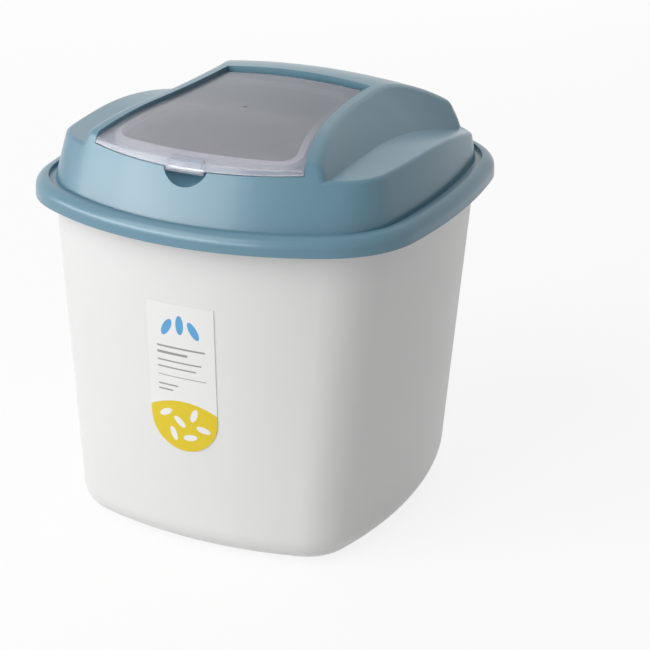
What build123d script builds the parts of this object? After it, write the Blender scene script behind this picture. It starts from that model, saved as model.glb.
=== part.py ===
from build123d import *
from math import acos, asin, cos, degrees, radians, sin, sqrt, tan
import os

# Rice bucket: a tapered tub, a lift-off lid and a see-through flap hinged in the lid.
# Millimetres. X is the width, the front faces -Y, Z is up.
# The origin is the middle of the tub's foot.

# Overall size
overall_width = 260.0
overall_depth = 270.0
overall_height = 270.0

# Outline of the lid's skirt seen from above: bowed sides joined by round corners
end_bow_radius = 194.0
side_bow_radius = 447.0
rim_corner_radius = 64.0

# Walls and clearances
lid_wall = 2.2
tub_wall = 2.2
flap_wall = 2.0
lid_seat_gap = 0.3
seal_gap = 0.35
flap_side_gap = 0.6
flap_front_gap = 0.8
flap_lower_gap = 0.6
hinge_gap = 0.9
pin_fit = 0.08

# Tub
tub_top_inset = 11.9
tub_foot_inset = 25.8
foot_bow_radius = 268.0
foot_corner_radius = 34.0
foot_edge_radius = 18.0
foot_height = 2.0
foot_land_width = 9.0
floor_thickness = 2.6
tub_lip_inset = 3.2
tub_lip_drop = 5.5

# Lid skirt, groove and plug wall
lid_height = 59.7
skirt_wall = 2.2
rim_height = 11.5
rim_draft = 0.5
rim_edge_radius = 6.9
groove_outer_inset = 8.2
groove_depth = 2.2
plug_wall_inset = 16.6
plug_wall_drop = 0.5

# Shoulder of the lid, with a shelf along each side that falls to the rear
shoulder_inset = 12.5
side_draft = 13.3
front_draft = 22.4
corner_tightening = 26.0
shelf_drop = 22.0
shelf_fall_length = 155.0
shelf_fall_radius = 380.0
shelf_rear_drop = 36.5
shelf_rear_blend = 60.0
shoulder_edge_radius = 3.0

# Dome of the lid
crown_radius = 500.0
crown_half_angle = 15.0
top_fall = 1.06
front_radius = 195.0
rear_radius = 98.0
front_roll_length = 90.0
front_sweep = 40.0
rear_roll_length = 91.0
rear_sweep = 62.0
lid_clear_height = 6.0

# Cheeks of the dome, in four levels: drop below the crest, inset from the side,
# and how far the front and the rear end swing out
cheek_levels = (
    (44.0, 37.5, -16.5, 3.0),
    (30.0, 44.0, -6.8, 12.0),
    (16.0, 56.5, 8.8, 19.0),
    (-2.0, 81.0, 48.0, 40.0),
)
cheek_straight = 24.8
cheek_slope = 50.0
cheek_edge_radius = 8.0
dome_end_radius = 6.0
end_zone = 40.0

# Window recess in the dome
window_side_inset = 79.7
window_flare_radius = 400.0
window_straight = 9.3
flap_recess = 2.5
pocket_depth = 8.0
step_drop = 20.8
step_sag = 1.8
step_corner_inset = 62.0
mouth_inset = 8.5
mouth_front_margin = 38.5
mouth_rear_margin = 16.8
mouth_corner_radius = 9.0
mouth_bow_radius = 169.0

# Hinge of the flap
hinge_rear_length = 100.2
ear_radius = 4.6
ear_width = 5.0
pin_radius = 2.4
pin_length = 2.4
curl_angle = 100.0
flap_ridge_radius = 2.5

# Thumb tab and the scoop under it
tab_width = 24.8
tab_proud = 2.4
tab_drop = 2.2
tab_rise = 1.0
tab_corner_radius = 3.2
tab_edge_radius = 1.6
tab_stand_off = 0.45
scoop_radius = 16.2
scoop_stand_off = 6.0
scoop_rise = 6.3

# Moulding mark on top of the flap
gate_radius = 1.3
gate_height = 0.35
gate_front_length = 101.0

# Seals
lid_seal_height = 6.0
lid_seal_lean = 0.5
flap_seal_width = 4.0
flap_seal_margin = 1.5

# Label
label_width = 45.0
label_bottom = 70.0
label_top = 168.0
label_thickness = 0.35
label_glue = 0.1

# Sizes that follow from the ones above
half_width = overall_width / 2
half_depth = overall_depth / 2
skirt_bottom = overall_height - lid_height
rim_top = skirt_bottom + rim_height
plug_wall_bottom = skirt_bottom - plug_wall_drop
ledge_top = rim_top - groove_depth
ledge_bottom = ledge_top - lid_wall
tub_lip_top = ledge_bottom - lid_seat_gap
form_top = overall_height + lid_clear_height
crown_axis_height = overall_height - crown_radius
shelf_height = overall_height - shelf_drop
shelf_rear_height = overall_height - shelf_rear_drop
shelf_fall_start = half_depth - shelf_fall_length
hinge_y = half_depth - hinge_rear_length
front_bend = front_roll_length - half_depth
rear_bend = half_depth - rear_roll_length
top_length = hinge_y - front_bend
top_radius = (top_length ** 2 + top_fall ** 2) / (2 * top_fall)
cheek_bend = hinge_y - cheek_straight
window_half_width = half_width - window_side_inset
window_bend = hinge_y - window_straight
mouth_front = half_depth - mouth_front_margin
mouth_rear = hinge_y - mouth_rear_margin
step_middle = overall_height - step_drop
step_corner = step_middle + step_sag
step_corner_x = half_width - step_corner_inset
tab_bottom = step_middle - tab_drop
scoop_centre_height = step_middle + scoop_rise
gate_y = gate_front_length - half_depth
ear_outer_x = window_half_width - flap_side_gap


# Height of the dome's surface over the hinge at x, `drop` below the crest
def surface_over_hinge(x, drop):
    return crown_axis_height + sqrt((crown_radius - drop) ** 2 - x ** 2)


hinge_z = surface_over_hinge(ear_outer_x, flap_recess) - ear_radius


# Closed outline of two bowed ends and two bowed sides, with its four corners rounded
def bowed_outline(z, half_x, front, back, end_radius, side_radius, corner_radius):
    middle_y = (back - front) / 2
    turned = (0, 0, 90)
    with BuildSketch(Plane.XY.offset(z)) as outline:
        with Locations((0, end_radius - front)):
            Circle(end_radius)
        with Locations((0, back - end_radius)):
            Circle(end_radius, mode=Mode.INTERSECT)
        with Locations(Location((half_x - side_radius, middle_y, 0), turned)):
            Circle(side_radius, mode=Mode.INTERSECT)
        with Locations(Location((side_radius - half_x, middle_y, 0), turned)):
            Circle(side_radius, mode=Mode.INTERSECT)
        fillet(outline.vertices(), corner_radius)
    return outline.sketch


# The skirt's outline at height z, drawn in by `inset`, with its corners `tighter`
def rim_outline(z, inset, front_inset=None, tighter=0.0):
    front_inset = inset if front_inset is None else front_inset
    return bowed_outline(
        z,
        half_width - inset,
        half_depth - front_inset,
        half_depth - inset,
        end_bow_radius - inset,
        side_bow_radius - inset,
        rim_corner_radius - inset - tighter,
    )


# The foot's outline at height z, drawn in by `inset`
def foot_outline(z, inset):
    return bowed_outline(
        z,
        half_width - tub_foot_inset - inset,
        half_depth - tub_foot_inset - inset,
        half_depth - tub_foot_inset - inset,
        foot_bow_radius - inset,
        foot_bow_radius - inset,
        foot_corner_radius - inset,
    )


# Solid between two level outlines
def between(lower, upper):
    with BuildPart() as body:
        loft(sections=[lower.face(), upper.face()], ruled=True)
    return body.part


# Tapered body of the tub, `inset` inside its outer faces
def tub_body(inset):
    return between(foot_outline(0, inset), rim_outline(tub_lip_top, tub_top_inset + inset))


# Upright plug with the skirt's outline, or a ring where an inner inset is given
def rim_prism(bottom, top, outer_inset, inner_inset=None):
    with BuildPart() as body:
        with BuildSketch(Plane.XY.offset(bottom)):
            add(rim_outline(0, outer_inset))
            if inner_inset is not None:
                add(rim_outline(0, inner_inset), mode=Mode.SUBTRACT)
        extrude(amount=top - bottom)
    return body.part


# Body inside the shoulder's leaning walls, `inset` inside their outer faces
def shoulder_body(inset):
    rise = form_top - ledge_top
    side_shift = inset / cos(radians(side_draft))
    front_shift = inset / cos(radians(front_draft))
    side_top = shoulder_inset + rise * tan(radians(side_draft))
    front_top = shoulder_inset + rise * tan(radians(front_draft))
    lower = rim_outline(ledge_top, shoulder_inset + side_shift, shoulder_inset + front_shift)
    upper = rim_outline(form_top, side_top + side_shift, front_top + front_shift, corner_tightening)
    return between(lower, upper)


# Everything under the dome's doubly curved top, `drop` below its surface
def dome_cap(drop):
    front_angle = degrees(asin(top_length / top_radius))
    rear_angle = degrees(asin((rear_bend - hinge_y) / top_radius))
    bottom = -crown_axis_height
    tilt = radians(crown_half_angle)
    start_plane = Plane(
        origin=(0, 0, crown_axis_height),
        x_dir=(0, 1, 0),
        z_dir=(cos(tilt), 0, sin(tilt)),
    )
    crest = (hinge_y, crown_radius - drop)
    with BuildPart() as cap:
        with BuildSketch(start_plane):
            with BuildLine():
                top_front = JernArc(crest, (-1, 0), top_radius - drop, front_angle)
                front = JernArc(top_front @ 1, top_front % 1, front_radius - drop, front_sweep)
                top_rear = JernArc(crest, (1, 0), top_radius - drop, -rear_angle)
                rear = JernArc(top_rear @ 1, top_rear % 1, rear_radius - drop, -rear_sweep)
                front_end = front @ 1
                rear_end = rear @ 1
                Polyline(front_end, (front_end.X, bottom), (rear_end.X, bottom), rear_end)
            make_face()
        revolve(axis=Axis((0, 0, crown_axis_height), (0, 1, 0)), revolution_arc=2 * crown_half_angle)
    return cap.part


# Plan outline between the two cheeks: straight from `cheek_bend` to the hinge line, curved to both ends
def cheek_outline(z, half_x, front_swing, rear_swing):
    front_x = half_x + front_swing
    rear_x = half_x + rear_swing
    with BuildSketch(Plane.XY.offset(z)) as outline:
        with BuildLine():
            TangentArc((half_x, cheek_bend), (front_x, -half_depth), tangent=(0, -1))
            Line((half_x, cheek_bend), (half_x, hinge_y))
            TangentArc((half_x, hinge_y), (rear_x, half_depth), tangent=(0, 1))
            Line((rear_x, half_depth), (-rear_x, half_depth))
            TangentArc((-half_x, hinge_y), (-rear_x, half_depth), tangent=(0, 1))
            Line((-half_x, hinge_y), (-half_x, cheek_bend))
            TangentArc((-half_x, cheek_bend), (-front_x, -half_depth), tangent=(0, -1))
            Line((-front_x, -half_depth), (front_x, -half_depth))
        make_face()
    return outline.sketch


# Body between the dome's two rounded cheeks, `inset` inside them
def cheek_body(inset):
    shift = inset / sin(radians(cheek_slope))
    outlines = []
    for drop, side_inset, front_swing, rear_swing in cheek_levels:
        half_x = half_width - side_inset - shift
        outlines.append(cheek_outline(overall_height - drop, half_x, front_swing, rear_swing).face())
    with BuildPart() as body:
        loft(sections=outlines)
    return body.part


# Body under the two side shelves, `drop` below them
def shelf_body(drop):
    fall = shelf_height - shelf_rear_height
    fall_angle = degrees(acos(1 - fall / (shelf_fall_radius + shelf_rear_blend)))
    with BuildPart() as body:
        with BuildSketch(Plane.YZ):
            with BuildLine():
                start = (shelf_fall_start, shelf_height - drop)
                falling = JernArc(start, (1, 0), shelf_fall_radius - drop, -fall_angle)
                levelling = JernArc(falling @ 1, falling % 1, shelf_rear_blend + drop, fall_angle)
                end = levelling @ 1
                Polyline(end, (half_depth, end.Y), (half_depth, skirt_bottom), (-half_depth, skirt_bottom))
                Polyline((-half_depth, skirt_bottom), (-half_depth, shelf_height - drop), start)
            make_face()
        extrude(amount=half_width, both=True)
    return body.part


# The lid's upper form, `inset` inside its outer faces
def upper_form(inset):
    cap = dome_cap(inset)
    cheeks = cheek_body(inset)
    shelf = shelf_body(inset)
    walls = shoulder_body(inset)
    with BuildPart() as form:
        add(cap)
        add(cheeks, mode=Mode.INTERSECT)
        add(shelf)
        add(walls, mode=Mode.INTERSECT)
    return form.part


# Plan outline of the window recess from the hinge line out past the lid's front, `grow` larger all round
def window_outline(z, grow):
    front_y = -half_depth
    radius = window_flare_radius - grow
    half_x = window_half_width + grow
    length = window_bend - front_y
    front_x = half_x + radius - sqrt(radius ** 2 - length ** 2)
    middle_x = half_x + radius - sqrt(radius ** 2 - (length / 2) ** 2)
    middle_y = window_bend - length / 2
    with BuildSketch(Plane.XY.offset(z)) as outline:
        with BuildLine():
            ThreePointArc((front_x, front_y), (middle_x, middle_y), (half_x, window_bend))
            Polyline((half_x, window_bend), (half_x, hinge_y), (-half_x, hinge_y), (-half_x, window_bend))
            ThreePointArc((-half_x, window_bend), (-middle_x, middle_y), (-front_x, front_y))
            Line((-front_x, front_y), (front_x, front_y))
        make_face()
    return outline.sketch


# Everything above the sagging line on which the flap's front skirt ends, moved up by `rise`
def above_step(rise):
    edge_z = step_corner + rise
    with BuildPart() as body:
        with BuildSketch(Plane.XZ):
            with BuildLine():
                corner = (step_corner_x, edge_z)
                sag = ThreePointArc((-step_corner_x, edge_z), (0, step_middle + rise), corner)
                Polyline(sag @ 1, (half_width, edge_z), (half_width, form_top), (-half_width, form_top))
                Polyline((-half_width, form_top), (-half_width, edge_z), sag @ 0)
            make_face()
        extrude(amount=half_depth, both=True)
    return body.part


# Barrel about the hinge axis that follows the dome's crown, `grow` larger than the flap's rear end
def hinge_barrel(half_x, grow, thickness=None, turn=360.0):
    outer = crown_radius - flap_recess + grow
    with BuildPart() as body:
        with BuildSketch(Plane.XZ.offset(-hinge_y)):
            with BuildLine():
                top_left = (-half_x, surface_over_hinge(half_x, flap_recess - grow))
                top_middle = (0, surface_over_hinge(0, flap_recess - grow))
                top_right = (half_x, surface_over_hinge(half_x, flap_recess - grow))
                arc = ThreePointArc(top_left, top_middle, top_right)
                if thickness is None:
                    Polyline(arc @ 1, (half_x, hinge_z), (-half_x, hinge_z), arc @ 0)
                else:
                    under = flap_recess - grow + thickness
                    low_left = (-half_x, surface_over_hinge(half_x, under))
                    low_middle = (0, surface_over_hinge(0, under))
                    low_right = (half_x, surface_over_hinge(half_x, under))
                    inner_arc = ThreePointArc(low_left, low_middle, low_right)
                    Line(arc @ 0, inner_arc @ 0)
                    Line(arc @ 1, inner_arc @ 1)
            make_face()
        revolve(axis=Axis((0, hinge_y, hinge_z), (-1, 0, 0)), revolution_arc=turn)
    return body.part


# Trough in which the flap's rear end turns, open at the top, `grow` larger all round
def trough_body(grow):
    half_x = window_half_width + grow
    gap = hinge_gap + grow
    side_y = hinge_y + surface_over_hinge(half_x, flap_recess - gap) - hinge_z
    middle_y = hinge_y + surface_over_hinge(0, flap_recess - gap) - hinge_z
    barrel = hinge_barrel(half_x, gap)
    with BuildPart() as body:
        with BuildSketch(Plane.XY.offset(hinge_z)):
            with BuildLine():
                rear = ThreePointArc((-half_x, side_y), (0, middle_y), (half_x, side_y))
                Polyline(rear @ 1, (half_x, hinge_y), (-half_x, hinge_y), rear @ 0)
            make_face()
        extrude(amount=form_top - hinge_z)
        add(barrel)
    return body.part


# Upright plug with the outline of the mouth through the recess floor, `grow` larger all round
def mouth_prism(grow):
    rear = mouth_rear + grow
    with BuildPart() as body:
        with BuildSketch(Plane.XY.offset(rim_top)) as outline:
            add(window_outline(0, grow - mouth_inset))
            with Locations((0, rear - half_depth)):
                Rectangle(overall_width, overall_depth, mode=Mode.INTERSECT)
            with Locations((0, mouth_bow_radius - mouth_front)):
                Circle(mouth_bow_radius + grow, mode=Mode.INTERSECT)
            fillet(outline.vertices(), mouth_corner_radius + grow)
        extrude(amount=form_top - rim_top)
    return body.part


# True for a point near the lid's front or rear
def in_end_zone(point):
    return abs(point.Y) > half_depth - end_zone


# Edges that are rounded
def on_shoulder_edge(edge):
    middle = edge.center()
    lowest = min((edge @ 0).Z, (edge @ 1).Z)
    beside_window = abs(middle.X) > window_half_width
    return lowest > shelf_rear_height - shoulder_edge_radius and (beside_window or in_end_zone(middle))


def on_cheek_ridge(edge):
    middle = edge.center()
    run = abs((edge @ 0).Y - (edge @ 1).Y)
    return abs(middle.X) > window_half_width / 2 and middle.Z > shelf_height and run > lid_wall


def on_dome_end(edge):
    middle = edge.center()
    cheek_foot = overall_height - cheek_levels[0][0]
    return in_end_zone(middle) and middle.Z > cheek_foot + dome_end_radius


def on_flap_ridge(edge):
    middle = edge.center()
    return in_end_zone(middle) and middle.Z > step_corner


def on_tab_side(edge):
    return abs(edge.center().X) > tab_width / 2 - tab_edge_radius


os.makedirs("parts", exist_ok=True)

# Tub: tapered walls on a raised floor, with an outward lip under the lid's skirt
with BuildPart() as tub_hollow:
    add(tub_body(tub_wall))
    split(bisect_by=Plane.XY.offset(foot_height + floor_thickness), keep=Keep.TOP)
    fillet(tub_hollow.edges().group_by(Axis.Z)[0], foot_edge_radius - tub_wall)
with BuildPart() as bucket:
    add(tub_body(0))
    fillet(bucket.edges().group_by(Axis.Z)[0], foot_edge_radius)
    add(rim_prism(tub_lip_top - tub_wall, tub_lip_top, tub_lip_inset, tub_top_inset + tub_wall / 2))
    add(rim_prism(tub_lip_top - tub_lip_drop, tub_lip_top, tub_lip_inset, tub_lip_inset + tub_wall))
    add(tub_hollow.part, mode=Mode.SUBTRACT)
    with BuildSketch(Plane.XY):
        add(foot_outline(0, foot_edge_radius + foot_land_width))
    extrude(amount=foot_height, mode=Mode.SUBTRACT)
bucket.part.label = "bucket"
export_step(bucket.part, "parts/bucket.step")

# Label on the tub's front wall: flat at the top, half round at the bottom
label_radius = label_width / 2
label_back = tub_body(-label_glue)
label_face = tub_body(-label_glue - label_thickness)
with BuildPart() as label:
    with BuildSketch(Plane.XZ):
        with BuildLine():
            left = (-label_radius, label_bottom + label_radius)
            right = (label_radius, label_bottom + label_radius)
            round_end = ThreePointArc(left, (0, label_bottom), right)
            Polyline(right, (label_radius, label_top), (-label_radius, label_top), left)
        make_face()
    extrude(amount=half_depth)
    add(label_face, mode=Mode.INTERSECT)
    add(label_back, mode=Mode.SUBTRACT)
label.part.label = "label"
export_step(label.part, "parts/label.step")

# Lid's outside: a shoulder and a dome, each with its own rounded edges, and the rim around them
with BuildPart() as shoulder:
    add(shelf_body(0))
    add(shoulder_body(0), mode=Mode.INTERSECT)
    fillet(shoulder.edges().filter_by(on_shoulder_edge), shoulder_edge_radius)
with BuildPart() as dome:
    add(dome_cap(0))
    add(cheek_body(0), mode=Mode.INTERSECT)
    add(shoulder_body(0), mode=Mode.INTERSECT)
    fillet(dome.edges().filter_by(on_cheek_ridge), cheek_edge_radius)
    fillet(dome.edges().filter_by(on_dome_end), dome_end_radius)
with BuildPart() as lid_rim:
    add(between(rim_outline(skirt_bottom, 0), rim_outline(rim_top, rim_draft)))
    fillet(lid_rim.edges().group_by(Axis.Z)[-1], rim_edge_radius)
    add(rim_prism(ledge_top, form_top, groove_outer_inset), mode=Mode.SUBTRACT)

# Window recess, and the same recess a wall larger all round
with BuildPart() as recess_keep:
    add(dome_cap(pocket_depth))
    add(shoulder_body(flap_wall + flap_front_gap), mode=Mode.INTERSECT)
with BuildPart() as recess_under:
    add(dome_cap(pocket_depth + lid_wall))
    add(shoulder_body(flap_wall + flap_front_gap + lid_wall), mode=Mode.INTERSECT)
with BuildPart() as recess:
    with BuildSketch(Plane.XY.offset(rim_top)):
        add(window_outline(0, 0))
    extrude(amount=form_top - rim_top)
    add(above_step(-flap_lower_gap), mode=Mode.INTERSECT)
    add(recess_keep.part, mode=Mode.SUBTRACT)
with BuildPart() as recess_shell:
    with BuildSketch(Plane.XY.offset(rim_top)):
        add(window_outline(0, lid_wall))
    extrude(amount=form_top - rim_top)
    add(above_step(-flap_lower_gap - lid_wall), mode=Mode.INTERSECT)
    add(recess_under.part, mode=Mode.SUBTRACT)

# Thumb scoop under the tab, and the cup that backs it
scoop_y = shoulder_inset - half_depth + (scoop_centre_height - ledge_top) * tan(radians(front_draft))
with BuildPart(Plane.XY.offset(scoop_centre_height)) as scoop:
    with Locations((0, scoop_y - scoop_stand_off, 0)):
        Sphere(scoop_radius)
    split(bisect_by=Plane.XY.offset(step_middle - flap_lower_gap), keep=Keep.BOTTOM)
with BuildPart(Plane.XY.offset(scoop_centre_height)) as scoop_shell:
    with Locations((0, scoop_y - scoop_stand_off, 0)):
        Sphere(scoop_radius + lid_wall)
    split(bisect_by=Plane.XY.offset(step_middle - flap_lower_gap + lid_wall), keep=Keep.BOTTOM)

# Lid: the outside made hollow, with a plug wall under its ledge
with BuildPart() as lid_hollow:
    add(upper_form(lid_wall))
    add(recess_shell.part, mode=Mode.SUBTRACT)
    add(trough_body(lid_wall), mode=Mode.SUBTRACT)
    add(scoop_shell.part, mode=Mode.SUBTRACT)
with BuildPart() as lid:
    add(shoulder.part)
    add(dome.part)
    add(lid_rim.part)
    add(rim_prism(skirt_bottom, ledge_bottom, skirt_wall), mode=Mode.SUBTRACT)
    add(rim_prism(plug_wall_bottom, ledge_top, plug_wall_inset))
    add(rim_prism(plug_wall_bottom, ledge_top, plug_wall_inset + lid_wall), mode=Mode.SUBTRACT)
    add(lid_hollow.part, mode=Mode.SUBTRACT)
    add(recess.part, mode=Mode.SUBTRACT)
    add(trough_body(0), mode=Mode.SUBTRACT)
    add(scoop.part, mode=Mode.SUBTRACT)
    add(mouth_prism(0), mode=Mode.SUBTRACT)
    with BuildSketch(Plane.YZ):
        with Locations((hinge_y, hinge_z)):
            Circle(pin_radius + pin_fit)
    extrude(amount=window_half_width + lid_wall + pin_fit, both=True, mode=Mode.SUBTRACT)
lid.part.label = "lid"
export_step(lid.part, "parts/lid.step")

# Flap: a see-through shell over the recess, with a front skirt and a thumb tab
with BuildPart() as flap_under:
    add(dome_cap(flap_recess + flap_wall))
    add(shoulder_body(flap_wall), mode=Mode.INTERSECT)
with BuildPart() as tab:
    with BuildSketch(Plane.XY.offset(tab_bottom)):
        with Locations((0, -half_depth)):
            Rectangle(tab_width, half_depth)
    extrude(amount=form_top - tab_bottom)
    add(shoulder_body(-tab_proud), mode=Mode.INTERSECT)
    add(dome_cap(flap_recess - tab_rise), mode=Mode.INTERSECT)
    fillet(tab.edges().filter_by(on_tab_side).sort_by(Axis.Z)[-2:], tab_corner_radius)
    fillet(tab.faces().sort_by(Axis.Y)[0].edges(), tab_edge_radius)
    add(shoulder_body(flap_wall / 2), mode=Mode.SUBTRACT)
with BuildPart() as tab_relief:
    add(shoulder_body(-tab_stand_off))
    add(above_step(0), mode=Mode.SUBTRACT)
with BuildPart() as gate_mark:
    with BuildSketch(Plane.XY.offset(rim_top)):
        with Locations((0, gate_y)):
            Circle(gate_radius)
    extrude(amount=form_top - rim_top)
    add(dome_cap(flap_recess - gate_height), mode=Mode.INTERSECT)
    add(dome_cap(flap_recess + flap_wall / 2), mode=Mode.SUBTRACT)
with BuildPart() as ears:
    add(hinge_barrel(ear_outer_x, 0))
    with BuildSketch(Plane.XY):
        Rectangle(2 * (ear_outer_x - ear_width), overall_depth)
    extrude(amount=form_top, mode=Mode.SUBTRACT)
with BuildPart() as pins:
    with BuildSketch(Plane.YZ):
        with Locations((hinge_y, hinge_z)):
            Circle(pin_radius)
    extrude(amount=ear_outer_x + pin_length, both=True)
    with BuildSketch(Plane.XY):
        Rectangle(2 * (ear_outer_x - ear_width), overall_depth)
    extrude(amount=form_top, mode=Mode.SUBTRACT)
with BuildPart() as flap:
    with BuildSketch(Plane.XY.offset(rim_top)):
        add(window_outline(0, -flap_side_gap))
    extrude(amount=form_top - rim_top)
    add(shoulder_body(0), mode=Mode.INTERSECT)
    add(dome_cap(flap_recess), mode=Mode.INTERSECT)
    fillet(flap.edges().filter_by(on_flap_ridge), flap_ridge_radius)
    add(above_step(0), mode=Mode.INTERSECT)
    add(flap_under.part, mode=Mode.SUBTRACT)
    add(tab.part)
    add(tab_relief.part, mode=Mode.SUBTRACT)
    add(hinge_barrel(ear_outer_x, 0, flap_wall, curl_angle))
    add(ears.part)
    add(pins.part)
    add(gate_mark.part)
flap.part.label = "flap"
export_step(flap.part, "parts/flap.step")

# Seal round the plug wall, pushed up under the lid's ledge
with BuildPart() as lid_seal:
    seal_inset = tub_top_inset + tub_wall + seal_gap + lid_seal_lean
    add(rim_prism(ledge_bottom - lid_seal_height, ledge_bottom, seal_inset, plug_wall_inset))
lid_seal.part.label = "lid_seal"
export_step(lid_seal.part, "parts/lid_seal.step")

# Seal round the mouth, under the closed flap
with BuildPart() as flap_seal:
    add(mouth_prism(flap_seal_margin + flap_seal_width))
    add(mouth_prism(flap_seal_margin), mode=Mode.SUBTRACT)
    add(dome_cap(flap_recess + flap_wall + seal_gap), mode=Mode.INTERSECT)
    add(dome_cap(pocket_depth), mode=Mode.SUBTRACT)
flap_seal.part.label = "flap_seal"
export_step(flap_seal.part, "parts/flap_seal.step")
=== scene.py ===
from math import cos, radians, sin

import bpy
from mathutils import Matrix, Vector

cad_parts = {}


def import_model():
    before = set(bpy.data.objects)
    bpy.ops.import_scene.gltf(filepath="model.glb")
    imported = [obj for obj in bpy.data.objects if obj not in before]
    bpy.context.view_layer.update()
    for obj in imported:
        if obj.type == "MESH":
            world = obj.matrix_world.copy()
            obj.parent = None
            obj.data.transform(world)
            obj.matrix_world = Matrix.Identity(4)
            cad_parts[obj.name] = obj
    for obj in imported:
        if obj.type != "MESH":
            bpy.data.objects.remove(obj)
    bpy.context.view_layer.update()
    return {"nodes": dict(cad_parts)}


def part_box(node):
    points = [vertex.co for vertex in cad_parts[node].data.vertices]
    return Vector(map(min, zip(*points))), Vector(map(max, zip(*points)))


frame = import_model()

# Camera: fitted to the photograph's outline, with the image taken as 650 by 650
IMAGE_PIXELS = 650
CAMERA_AZIMUTH = 26.24
CAMERA_ELEVATION = 21.77
CAMERA_DISTANCE = 1.26883
CAMERA_ROLL = -0.34
FOCAL_PIXELS = 1965.86
AIM_HEIGHT = 0.135
AIM_OFFSET_RIGHT = -56.25
AIM_OFFSET_UP = 34.74
SENSOR_MM = 36.0

# Colours are linear
WHITE = (0.80, 0.80, 0.79)
WHITE_SHADE = (0.76, 0.76, 0.755)
BLUE = (0.128, 0.262, 0.342)
BLUE_SHADE = (0.118, 0.245, 0.321)
# The smoke's pale front colour is painted light on the front skirt, and its dark rear colour is painted
# shade towards the hinge
SMOKE_FRONT_PAINTED_LIGHT = (0.79, 0.79, 0.85)
SMOKE_REAR_PAINTED_SHADE = (0.34, 0.39, 0.46)
SILICONE = (0.72, 0.73, 0.72)
SILICONE_SHADE = (0.66, 0.67, 0.66)
PAPER = (0.82, 0.82, 0.81)
YELLOW = (0.74, 0.56, 0.01)
INK_GREY = (0.30, 0.30, 0.31)
INK_BLUE = (0.10, 0.36, 0.66)
FLOOR_GREY = (0.70, 0.70, 0.70)
FLOOR_SHADE = (0.67, 0.67, 0.67)
FLOOR_WHITE = (0.95, 0.95, 0.95)

# Plastics
PLASTIC_IOR = 1.49
COAT_ROUGHNESS = 0.12
SUBSURFACE_RADIUS = (1.0, 0.9, 0.8)
PLASTIC_DEPTH = 0.004
SILICONE_DEPTH = 0.003
SMOKE_IOR = 1.45
SMOKE_TRANSMISSION = 0.82
# Where the smoke's painted light on the front ends and where its painted shade towards the rear is full
SMOKE_PAINTED_LIGHT_UP_TO_Y = -0.105
SMOKE_PAINTED_SHADE_FROM_Y = 0.0
SMOKE_EDGE_DRIFT = 0.02

# Floor and light
FLOOR_REACH = 6.0
FLOOR_GLOW_SHARE = 0.84
WORLD_STRENGTH = 0.37
MIDDLE_OF_TUB = (0.0, 0.0, 0.13)
UNDER_THE_LID = (0.0, 0.0, 0.2)


class Nodes:
    """A material's node tree with short calls for the nodes used here."""

    def __init__(self, name):
        self.material = bpy.data.materials.new(name)
        self.material.use_nodes = True
        self.tree = self.material.node_tree
        self.shader = self.tree.nodes["Principled BSDF"]

    def new(self, kind, **values):
        node = self.tree.nodes.new(kind)
        for name, value in values.items():
            setattr(node, name, value)
        return node

    def link(self, source, target):
        self.tree.links.new(source, target)

    def place(self):
        return self.new("ShaderNodeTexCoord").outputs["Object"]

    def noise(self, scale, detail=3.0, roughness=0.5):
        node = self.new("ShaderNodeTexNoise")
        node.inputs["Scale"].default_value = scale
        node.inputs["Detail"].default_value = detail
        node.inputs["Roughness"].default_value = roughness
        self.link(self.place(), node.inputs["Vector"])
        return node.outputs["Fac"]

    def span(self, source, low, high):
        node = self.new("ShaderNodeMapRange")
        node.inputs["To Min"].default_value = low
        node.inputs["To Max"].default_value = high
        self.link(source, node.inputs["Value"])
        return node.outputs["Result"]

    def math(self, operation, first, second=None, third=None):
        node = self.new("ShaderNodeMath", operation=operation)
        for index, value in enumerate((first, second, third)):
            if value is None:
                continue
            if isinstance(value, (int, float)):
                node.inputs[index].default_value = value
            else:
                self.link(value, node.inputs[index])
        return node.outputs["Value"]

    def mix(self, factor, first, second):
        node = self.new("ShaderNodeMix", data_type="RGBA")
        self.link(factor, node.inputs["Factor"])
        for socket, value in ((node.inputs[6], first), (node.inputs[7], second)):
            if isinstance(value, tuple):
                socket.default_value = (*value, 1.0)
            else:
                self.link(value, socket)
        return node.outputs[2]

    def bump(self, height, distance, strength=1.0, base=None):
        node = self.new("ShaderNodeBump")
        node.inputs["Distance"].default_value = distance
        node.inputs["Strength"].default_value = strength
        self.link(height, node.inputs["Height"])
        if base is not None:
            self.link(base, node.inputs["Normal"])
        return node.outputs["Normal"]


def moulded_plastic(name, colour, shade, roughness, specular=0.5, coat=0.0, subsurface=0.0):
    """Moulded plastic: faint colour drift, uneven gloss, and a fine grain with slow waviness."""
    nodes = Nodes(name)
    shader = nodes.shader
    nodes.link(nodes.mix(nodes.noise(14.0), shade, colour), shader.inputs["Base Color"])
    gloss = nodes.span(nodes.noise(60.0, 4.0), roughness - 0.04, roughness + 0.05)
    nodes.link(gloss, shader.inputs["Roughness"])
    waves = nodes.bump(nodes.noise(9.0, 1.0), 0.0012, 0.25)
    grain = nodes.bump(nodes.noise(2600.0, 2.0), 0.00002, 0.5, waves)
    nodes.link(grain, shader.inputs["Normal"])
    shader.inputs["IOR"].default_value = PLASTIC_IOR
    shader.inputs["Specular IOR Level"].default_value = specular
    shader.inputs["Coat Weight"].default_value = coat
    shader.inputs["Coat Roughness"].default_value = COAT_ROUGHNESS
    shader.inputs["Subsurface Weight"].default_value = subsurface
    shader.inputs["Subsurface Radius"].default_value = SUBSURFACE_RADIUS
    shader.inputs["Subsurface Scale"].default_value = PLASTIC_DEPTH
    return nodes.material


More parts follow.
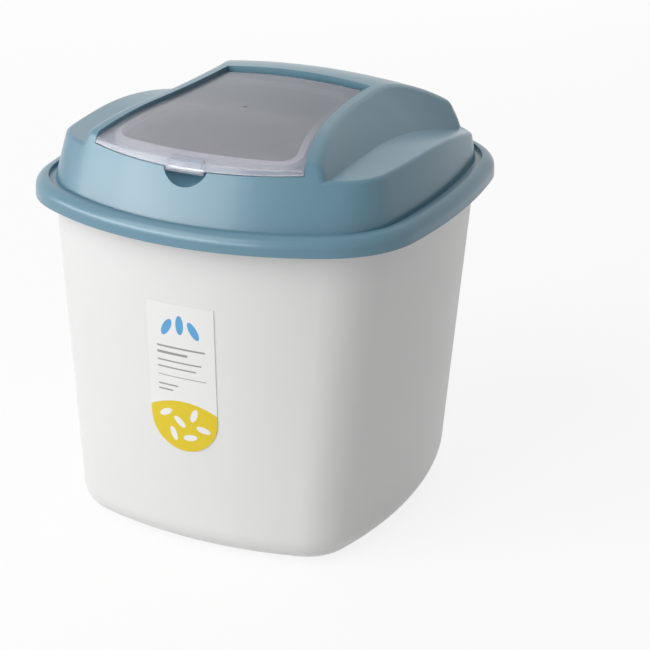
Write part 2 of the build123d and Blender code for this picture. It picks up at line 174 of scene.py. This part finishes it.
def smoky_plastic(name):
    """See-through smoky plastic, a little cloudy, with painted light making its front skirt pale and
    painted shade darkening it towards the hinge.
    """
    nodes = Nodes(name)
    shader = nodes.shader
    split = nodes.new("ShaderNodeSeparateXYZ")
    nodes.link(nodes.place(), split.inputs["Vector"])
    along = nodes.new("ShaderNodeMapRange", interpolation_type="SMOOTHSTEP")
    along.inputs["From Min"].default_value = SMOKE_PAINTED_LIGHT_UP_TO_Y
    along.inputs["From Max"].default_value = SMOKE_PAINTED_SHADE_FROM_Y
    drift = nodes.math("MULTIPLY", nodes.math("SUBTRACT", nodes.noise(22.0), 0.5), SMOKE_EDGE_DRIFT)
    nodes.link(nodes.math("ADD", split.outputs["Y"], drift), along.inputs["Value"])
    # Painted light at the front skirt fading to painted shade towards the hinge
    nodes.link(nodes.mix(along.outputs["Result"], SMOKE_FRONT_PAINTED_LIGHT, SMOKE_REAR_PAINTED_SHADE), shader.inputs["Base Color"])
    nodes.link(nodes.span(nodes.noise(90.0), 0.18, 0.26), shader.inputs["Roughness"])
    nodes.link(nodes.bump(nodes.noise(12.0, 1.0), 0.0008, 0.2), shader.inputs["Normal"])
    shader.inputs["Transmission Weight"].default_value = SMOKE_TRANSMISSION
    shader.inputs["IOR"].default_value = SMOKE_IOR
    return nodes.material


def silicone(name):
    """Soft seal: matt, with a dusty fine grain."""
    nodes = Nodes(name)
    shader = nodes.shader
    nodes.link(nodes.mix(nodes.noise(40.0), SILICONE_SHADE, SILICONE), shader.inputs["Base Color"])
    nodes.link(nodes.span(nodes.noise(300.0), 0.48, 0.6), shader.inputs["Roughness"])
    nodes.link(nodes.bump(nodes.noise(900.0), 0.00005, 0.4), shader.inputs["Normal"])
    shader.inputs["Subsurface Weight"].default_value = 0.15
    shader.inputs["Subsurface Radius"].default_value = SUBSURFACE_RADIUS
    shader.inputs["Subsurface Scale"].default_value = SILICONE_DEPTH
    return nodes.material


def printed_label(name, box):
    """White film: three blue grains, plain grey rules, and a yellow foot strewn with pale grains."""
    nodes = Nodes(name)
    shader = nodes.shader
    split = nodes.new("ShaderNodeSeparateXYZ")
    nodes.link(nodes.place(), split.inputs["Vector"])
    x = split.outputs["X"]
    z = split.outputs["Z"]
    low, high = box
    middle_x = (low[0] + high[0]) / 2
    width = high[0] - low[0]
    height = high[2] - low[2]

    def across(share):
        return middle_x + share * width

    def up(share):
        return low[2] + share * height

    def rule(left, right, bottom, top):
        inside_x = nodes.math("COMPARE", x, across((left + right) / 2), (right - left) / 2 * width)
        inside_z = nodes.math("COMPARE", z, up((bottom + top) / 2), (top - bottom) / 2 * height)
        return nodes.math("MULTIPLY", inside_x, inside_z)

    def grain(middle, level, length, breadth, turn):
        dx = nodes.math("SUBTRACT", x, across(middle))
        dz = nodes.math("SUBTRACT", z, up(level))
        along = nodes.math(
            "ADD", nodes.math("MULTIPLY", dx, cos(turn)), nodes.math("MULTIPLY", dz, sin(turn))
        )
        aside = nodes.math(
            "SUBTRACT", nodes.math("MULTIPLY", dz, cos(turn)), nodes.math("MULTIPLY", dx, sin(turn))
        )
        far = nodes.math("POWER", nodes.math("DIVIDE", along, length / 2), 2.0)
        wide = nodes.math("POWER", nodes.math("DIVIDE", aside, breadth / 2), 2.0)
        return nodes.math("LESS_THAN", nodes.math("ADD", far, wide), 1.0)

    # The yellow foot's upper edge is a shallow arch
    arch = nodes.math("MULTIPLY", nodes.math("POWER", nodes.math("SUBTRACT", x, middle_x), 2.0), 12.0)
    foot = nodes.math("LESS_THAN", nodes.math("ADD", z, arch), up(0.345))
    colour = nodes.mix(foot, PAPER, YELLOW)
    for left, right, bottom, top in (
        (-0.36, 0.36, 0.700, 0.712),
        (-0.36, 0.10, 0.655, 0.672),
        (-0.36, 0.30, 0.605, 0.615),
        (-0.36, 0.22, 0.560, 0.570),
        (-0.36, 0.36, 0.505, 0.510),
        (-0.36, -0.06, 0.440, 0.450),
        (-0.36, -0.14, 0.405, 0.415),
    ):
        colour = nodes.mix(rule(left, right, bottom, top), colour, INK_GREY)
    for middle, level, turn in ((-0.20, 0.84, 1.05), (0.0, 0.865, 1.57), (0.20, 0.84, 2.09)):
        colour = nodes.mix(grain(middle, level, 0.0125, 0.0052, turn), colour, INK_BLUE)
    for middle, level, turn in (
        (-0.27, 0.25, 0.5),
        (-0.06, 0.20, 2.4),
        (0.16, 0.26, 1.2),
        (0.29, 0.17, 2.9),
        (-0.16, 0.11, 1.9),
        (0.09, 0.10, 0.2),
    ):
        colour = nodes.mix(grain(middle, level, 0.0095, 0.0042, turn), colour, PAPER)
    nodes.link(colour, shader.inputs["Base Color"])
    nodes.link(nodes.span(nodes.noise(120.0), 0.3, 0.38), shader.inputs["Roughness"])
    nodes.link(nodes.bump(nodes.noise(700.0), 0.00002, 0.3), shader.inputs["Normal"])
    return nodes.material


def dress(node, material):
    """Gives a carried-over CAD node its finished material."""
    obj = frame["nodes"][node]
    for slot in obj.material_slots:
        slot.material = material


dress("bucket", moulded_plastic("bucket_white", WHITE, WHITE_SHADE, 0.36, subsurface=0.08))
dress("lid", moulded_plastic("lid_blue", BLUE, BLUE_SHADE, 0.30, specular=0.45, coat=0.2))
dress("flap", smoky_plastic("flap_smoke"))
seal_material = silicone("seal_silicone")
dress("lid_seal", seal_material)
dress("flap_seal", seal_material)
dress("label", printed_label("label_print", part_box("label")))


def background_ray(tree):
    """1 for the rays that show the surroundings: those of the camera, of reflections and of clear parts."""
    path = tree.nodes.new("ShaderNodeLightPath")
    total = path.outputs["Is Camera Ray"]
    for name in ("Is Glossy Ray", "Is Transmission Ray"):
        either = tree.nodes.new("ShaderNodeMath")
        either.operation = "MAXIMUM"
        tree.links.new(total, either.inputs[0])
        tree.links.new(path.outputs[name], either.inputs[1])
        total = either.outputs["Value"]
    return total


def floor():
    """Pale floor: light grey to bounced light, near white with a faint shadow where it is seen."""
    mesh = bpy.data.meshes.new("floor")
    signs = ((-1, -1), (1, -1), (1, 1), (-1, 1))
    corners = [(x * FLOOR_REACH, y * FLOOR_REACH, 0.0) for x, y in signs]
    mesh.from_pydata(corners, [], [(0, 1, 2, 3)])
    obj = bpy.data.objects.new("floor", mesh)
    bpy.context.scene.collection.objects.link(obj)
    nodes = Nodes("floor_white")
    nodes.shader.inputs["Roughness"].default_value = 0.8
    seen = background_ray(nodes.tree)
    grey = nodes.mix(nodes.noise(3.0), FLOOR_SHADE, FLOOR_GREY)
    nodes.link(nodes.mix(seen, grey, FLOOR_WHITE), nodes.shader.inputs["Base Color"])
    glow = nodes.new("ShaderNodeEmission")
    blend = nodes.new("ShaderNodeMixShader")
    share = nodes.math("MULTIPLY", seen, FLOOR_GLOW_SHARE)
    nodes.link(share, blend.inputs["Fac"])
    nodes.link(nodes.shader.outputs["BSDF"], blend.inputs[1])
    nodes.link(glow.outputs["Emission"], blend.inputs[2])
    nodes.link(blend.outputs["Shader"], nodes.tree.nodes["Material Output"].inputs["Surface"])
    mesh.materials.append(nodes.material)


floor()


def world(strength):
    """Even pale surroundings that light the part at `strength` and are seen as white."""
    surroundings = bpy.data.worlds.new("studio")
    bpy.context.scene.world = surroundings
    surroundings.use_nodes = True
    tree = surroundings.node_tree
    background = tree.nodes["Background"]
    background.inputs["Color"].default_value = (1.0, 1.0, 1.0, 1.0)
    level = tree.nodes.new("ShaderNodeMapRange")
    level.inputs["To Min"].default_value = strength
    level.inputs["To Max"].default_value = 1.0
    tree.links.new(background_ray(tree), level.inputs["Value"])
    tree.links.new(level.outputs["Result"], background.inputs["Strength"])


def lamp(name, place, aim, width, height, watts, shade=True, sheen=True):
    """Soft lamp of `width` by `height` at `place`, turned to `aim`, that gives shade, sheen or both."""
    data = bpy.data.lights.new(name, "AREA")
    data.shape = "RECTANGLE"
    data.energy = watts
    data.size = width
    data.size_y = height
    obj = bpy.data.objects.new(name, data)
    bpy.context.scene.collection.objects.link(obj)
    obj.visible_diffuse = shade
    obj.visible_glossy = sheen
    obj.visible_transmission = sheen
    obj.location = place
    obj.rotation_euler = (Vector(aim) - Vector(place)).to_track_quat("-Z", "Y").to_euler()


def camera():
    """The photograph's camera, from its azimuth, elevation, distance, aim and roll."""
    azimuth = radians(CAMERA_AZIMUTH)
    elevation = radians(CAMERA_ELEVATION)
    back = Vector((sin(azimuth) * cos(elevation), -cos(azimuth) * cos(elevation), sin(elevation)))
    right = Vector((cos(azimuth), sin(azimuth), 0.0))
    up = back.cross(right)
    aim = Vector((0.0, 0.0, AIM_HEIGHT))
    straight = Matrix((right, up, -back))
    offset = Vector((AIM_OFFSET_RIGHT, AIM_OFFSET_UP, FOCAL_PIXELS)).normalized()
    turn = Vector((0.0, 0.0, 1.0)).rotation_difference(offset).to_matrix()
    roll = Matrix.Rotation(radians(CAMERA_ROLL), 3, "Z")
    rows = roll @ turn @ straight
    axes = Matrix((rows[0], rows[1], -rows[2])).transposed()
    data = bpy.data.cameras.new("camera")
    data.sensor_width = SENSOR_MM
    data.lens = FOCAL_PIXELS * SENSOR_MM / IMAGE_PIXELS
    obj = bpy.data.objects.new("camera", data)
    bpy.context.scene.collection.objects.link(obj)
    obj.matrix_world = Matrix.Translation(aim + CAMERA_DISTANCE * back) @ axes.to_4x4()
    bpy.context.scene.camera = obj


camera()
world(WORLD_STRENGTH)
lamp("key", (-1.12, -1.87, 1.55), MIDDLE_OF_TUB, width=2.4, height=2.4, watts=56.0)
lamp("strip", (-0.95, -1.36, 0.51), UNDER_THE_LID, width=3.0, height=0.5, watts=26.0, shade=False)
lamp("back", (-1.05, 2.00, 0.75), MIDDLE_OF_TUB, width=2.0, height=1.2, watts=15.0, sheen=False)
bpy.context.scene.view_settings.view_transform = "Standard"
